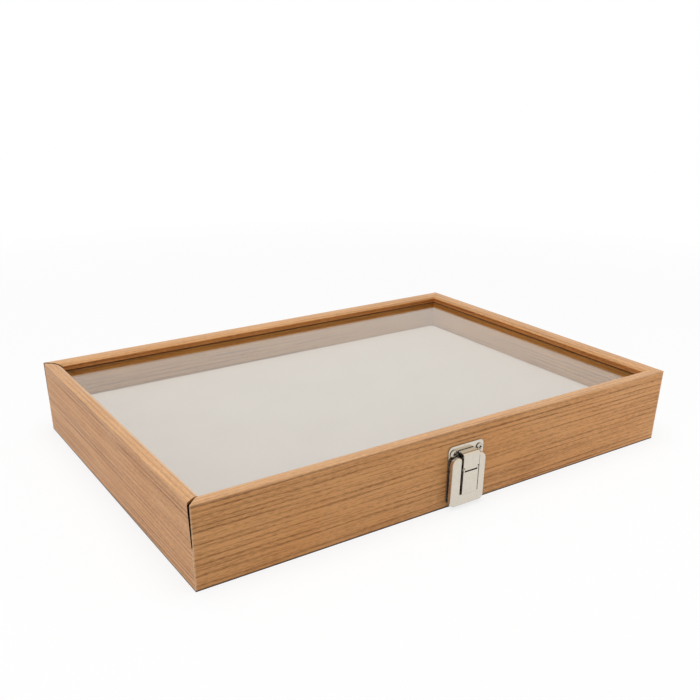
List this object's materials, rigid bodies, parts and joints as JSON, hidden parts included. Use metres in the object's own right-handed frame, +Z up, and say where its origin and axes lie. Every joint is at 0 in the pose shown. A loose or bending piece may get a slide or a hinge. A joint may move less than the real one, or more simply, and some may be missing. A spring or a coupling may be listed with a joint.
{
  "type": "enamel pin display case",
  "caption": "Shallow wood-finish display case with a cloth-covered foam pad under a hinged glass lid, closed by an over-centre draw latch.",
  "frame": {"origin": "centre of the flat underside of the wooden case", "axes": "+X to the right along the front, +Y from the front to the hinged back, +Z up through the glass"},
  "size_m": [0.35, 0.2532, 0.05],
  "materials": {
    "wood_grain_film": "satin film printed with fine straight grain over fibreboard",
    "clear_glass": "clear 2 mm sheet glass",
    "bottom_board": "smooth brown hardboard",
    "foam": "open-cell foam",
    "pad_cloth": "short-pile warm grey velvet",
    "bright_nickel": "polished nickel plate on pressed steel",
    "nickel_screws": "nickel plate, cross recess",
    "steel_pins": "drawn wire"
  },
  "bodies": {
    "base": {"base_wall_front": "wood_grain_film", "base_wall_back": "wood_grain_film", "base_wall_left": "wood_grain_film", "base_wall_right": "wood_grain_film", "bottom_panel": "bottom_board", "foam_pad": "foam", "pad_cover": "pad_cloth", "latch_base_plate": "bright_nickel", "latch_base_screws": "nickel_screws", "lever_pin": "steel_pins", "hinge_left_base_leaf": "bright_nickel", "hinge_left_base_screws": "nickel_screws", "hinge_left_pin": "steel_pins", "hinge_right_base_leaf": "bright_nickel", "hinge_right_base_screws": "nickel_screws", "hinge_right_pin": "steel_pins"},
    "lid": {"lid_rail_front": "wood_grain_film", "lid_rail_back": "wood_grain_film", "lid_rail_left": "wood_grain_film", "lid_rail_right": "wood_grain_film", "glass_pane": "clear_glass", "catch_plate": "bright_nickel", "catch_plate_screws": "nickel_screws", "hinge_left_lid_leaf": "bright_nickel", "hinge_left_lid_screws": "nickel_screws", "hinge_right_lid_leaf": "bright_nickel", "hinge_right_lid_screws": "nickel_screws"},
    "lever": {"latch_lever": "bright_nickel", "hook_pin": "steel_pins"},
    "hook": {"draw_hook": "bright_nickel"}
  },
  "joints": [
    {"name": "lid_hinge", "type": "hinge", "parent": "base", "child": "lid", "pos_m": [0, 0.1236, 0.025], "axis": [-1, 0, 0], "range_deg": [0, 180]},
    {"name": "lever_swing", "type": "hinge", "parent": "base", "child": "lever", "pos_m": [0, -0.1249, 0.0314], "axis": [-1, 0, 0], "range_deg": [0, 95]},
    {"name": "hook_swing", "type": "hinge", "parent": "lever", "child": "hook", "pos_m": [0, -0.1266, 0.0256], "axis": [1, 0, 0], "range_deg": [0, 95]}
  ],
  "couplings": [
    {"joint": "hook_swing", "follows": "lever_swing", "ratio": 1}
  ]
}
